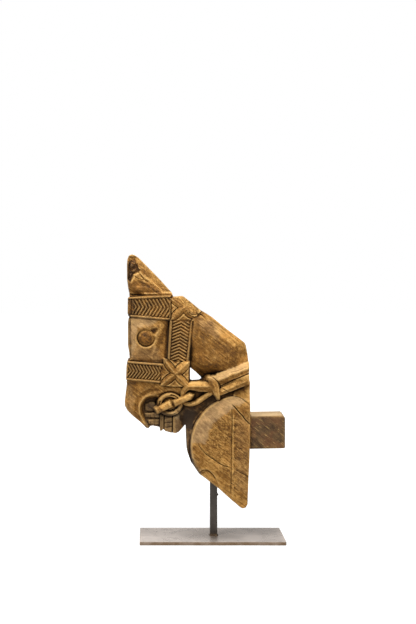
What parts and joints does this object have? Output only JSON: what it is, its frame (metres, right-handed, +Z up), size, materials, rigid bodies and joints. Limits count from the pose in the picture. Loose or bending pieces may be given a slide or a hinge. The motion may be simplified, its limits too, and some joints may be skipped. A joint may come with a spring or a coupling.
{
  "type": "carved wooden horse head on stand",
  "caption": "Bridled horse head and chest carved from one timber with a square tenon at the back, held up by a square steel post on a flat steel plate.",
  "frame": {"origin": "centre of the base plate's underside", "axes": "+Z up; the horse faces -X, the tenon points to +X, and the horse's left side looks towards -Y"},
  "size_m": [0.299, 0.13, 0.537],
  "materials": {
    "wood": "aged, dry, worn carved surface with dark dirt in the grooves",
    "post_steel": "dark waxed mill finish",
    "plate_steel": "satin, with rust at the edges"
  },
  "bodies": {
    "root": {"carved_head": "wood", "post": "post_steel", "base_plate": "plate_steel"}
  },
  "joints": []
}
